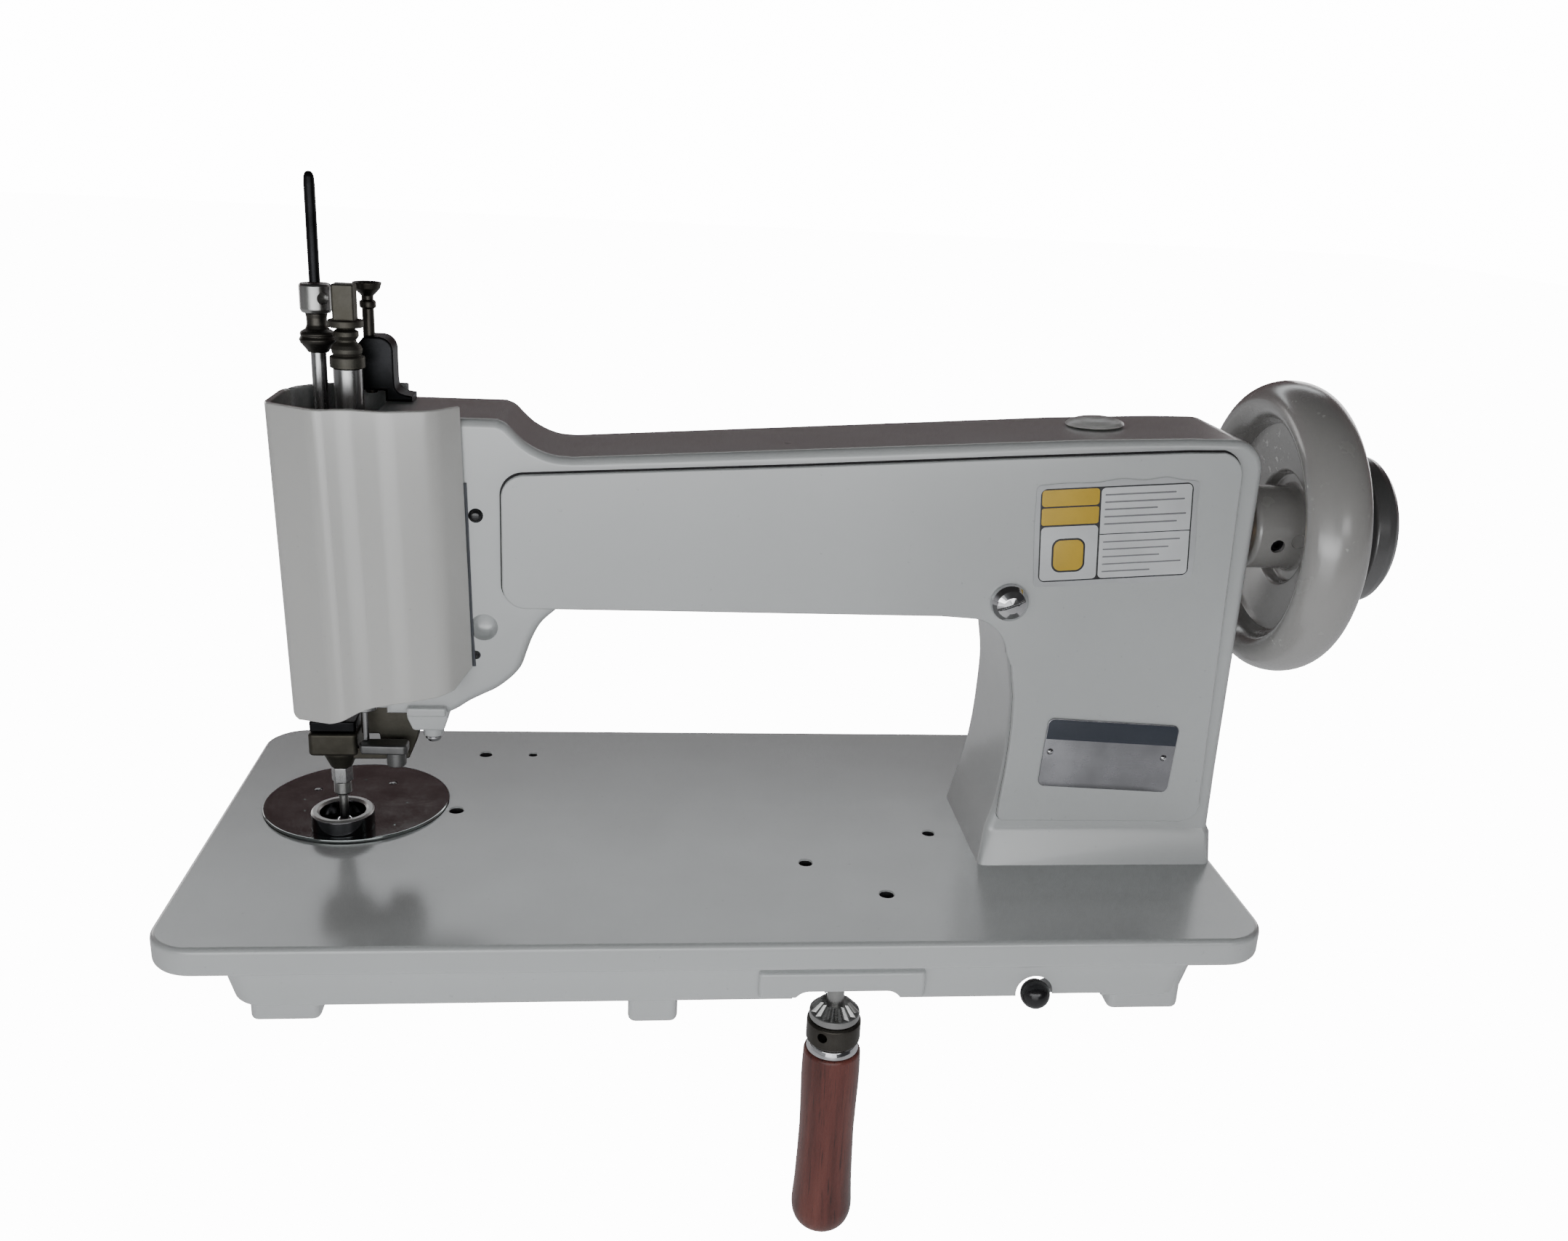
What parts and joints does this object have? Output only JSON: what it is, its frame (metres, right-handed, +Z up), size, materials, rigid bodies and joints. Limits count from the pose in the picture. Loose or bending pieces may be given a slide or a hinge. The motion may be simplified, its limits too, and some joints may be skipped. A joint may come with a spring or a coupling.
{
  "type": "sewing machine head",
  "caption": "Bed-mounted sewing machine head with a cast arm, faceted face cover, handwheel with belt pulley, round needle plate and a turning wooden handle under the bed.",
  "frame": {"origin": "middle of the flat strip along the front of the bed rim's underside, which bears on the table", "axes": "+X along the bed to the handwheel, +Y from the operator to the back, +Z up"},
  "size_m": [0.551, 0.225, 0.4768],
  "materials": {
    "cream_paint": "warm off-white gloss enamel",
    "cover_paint": "off-white gloss enamel, slightly warmer",
    "pulley_grey": "dark grey enamel on cast iron",
    "black_steel": "black oxide",
    "dark_steel": "dark oiled gunmetal",
    "steel": "ground bright steel",
    "chrome": "polished chrome plate",
    "bronze": "turned bronze",
    "white_plastic": "moulded white",
    "black_plastic": "moulded black",
    "wood": "turned, stained and varnished",
    "name_metal": "printed satin plate",
    "label": "printed film"
  },
  "bodies": {
    "frame": {"bed_casting": "cream_paint", "arm_casting": "cream_paint", "side_panel": "cream_paint", "panel_screw": "chrome", "nameplate": "name_metal", "nameplate_rivet_left": "steel", "nameplate_rivet_right": "steel", "info_label": "label", "oil_cap": "white_plastic", "face_cover": "cover_paint", "needle_plate": "chrome", "plate_screw_1": "steel", "plate_screw_2": "steel", "throat_ring": "chrome", "needle_bushing_upper": "bronze", "needle_bushing_lower": "bronze", "top_bracket": "black_steel", "tension_post": "dark_steel", "feed_bracket": "dark_steel", "cover_button": "black_plastic", "head_bolt": "chrome", "shaft_bushing_left": "bronze", "shaft_bushing_right": "bronze", "lower_bearing": "cream_paint", "looper_bridge": "cream_paint", "steering_bearing": "cream_paint", "cross_bearing": "cream_paint", "direction_bearing": "cream_paint", "selector_pivot": "dark_steel"},
    "main_shaft": {"main_shaft": "steel", "crank_disc": "steel", "handwheel": "cream_paint", "handwheel_screw": "black_steel", "belt_pulley": "pulley_grey", "pulley_nut": "steel"},
    "connecting_rod": {"connecting_rod": "steel"},
    "upright_shaft": {"upright_shaft": "steel"},
    "lower_shaft": {"lower_shaft": "steel"},
    "needle_bar": {"needle_bar": "steel", "needle": "chrome", "top_rod": "black_steel", "spool_collar": "dark_steel", "top_collar": "dark_steel", "needle_bar_crosshead": "steel"},
    "presser": {"presser_tube": "steel", "presser_stack": "steel", "feed_lever": "dark_steel", "foot_block": "dark_steel", "foot_block_cap": "black_steel", "foot_nut": "chrome", "nipple": "steel"},
    "steering": {"steering_shaft": "steel", "steering_collar": "steel", "handle_ferrule": "chrome", "wooden_handle": "wood"},
    "cross_shaft": {"cross_shaft": "steel"},
    "direction_shaft": {"direction_shaft": "steel"},
    "looper": {"looper_tube": "chrome"},
    "selector": {"selector_lever": "steel", "selector_knob": "black_plastic"}
  },
  "joints": [
    {"name": "handwheel_spin", "type": "hinge", "parent": "frame", "child": "main_shaft", "pos_m": [0, 0.101, 0.1714], "axis": [1, 0, 0], "continuous": true},
    {"name": "crank_pin", "type": "hinge", "parent": "main_shaft", "child": "connecting_rod", "pos_m": [-0.153, 0.101, 0.1614], "axis": [1, 0, 0], "continuous": true},
    {"name": "upright_spin", "type": "hinge", "parent": "frame", "child": "upright_shaft", "pos_m": [0.183, 0.101, 0.08], "axis": [0, 0, 1], "continuous": true},
    {"name": "lower_spin", "type": "hinge", "parent": "frame", "child": "lower_shaft", "pos_m": [0, 0.101, -0.014], "axis": [1, 0, 0], "continuous": true},
    {"name": "needle_stroke", "type": "slide", "parent": "frame", "child": "needle_bar", "axis": [0, 0, 1], "range_m": [0, 0.02]},
    {"name": "presser_lift", "type": "slide", "parent": "frame", "child": "presser", "axis": [0, 0, 1], "range_m": [0, 0.008]},
    {"name": "handle_turn", "type": "hinge", "parent": "frame", "child": "steering", "pos_m": [0.053, 0.034, -0.034], "axis": [0, 0, 1], "continuous": true},
    {"name": "cross_spin", "type": "hinge", "parent": "frame", "child": "cross_shaft", "pos_m": [0.053, 0.067, -0.034], "axis": [0, 1, 0], "continuous": true},
    {"name": "direction_spin", "type": "hinge", "parent": "frame", "child": "direction_shaft", "pos_m": [-0.07, 0.101, -0.034], "axis": [1, 0, 0], "continuous": true},
    {"name": "looper_turn", "type": "hinge", "parent": "frame", "child": "looper", "pos_m": [-0.177, 0.101, 0], "axis": [0, 0, 1], "continuous": true},
    {"name": "selector_swing", "type": "hinge", "parent": "frame", "child": "selector", "pos_m": [0.16, 0.022, -0.0225], "axis": [0, 0, 1], "range_deg": [-3, 3]}
  ],
  "couplings": [
    {"joint": "crank_pin", "follows": "handwheel_spin", "ratio": -1},
    {"joint": "upright_spin", "follows": "handwheel_spin", "ratio": -1},
    {"joint": "lower_spin", "follows": "handwheel_spin", "ratio": -1},
    {"joint": "cross_spin", "follows": "handle_turn", "ratio": 1},
    {"joint": "direction_spin", "follows": "handle_turn", "ratio": -1},
    {"joint": "looper_turn", "follows": "handle_turn", "ratio": 1}
  ]
}
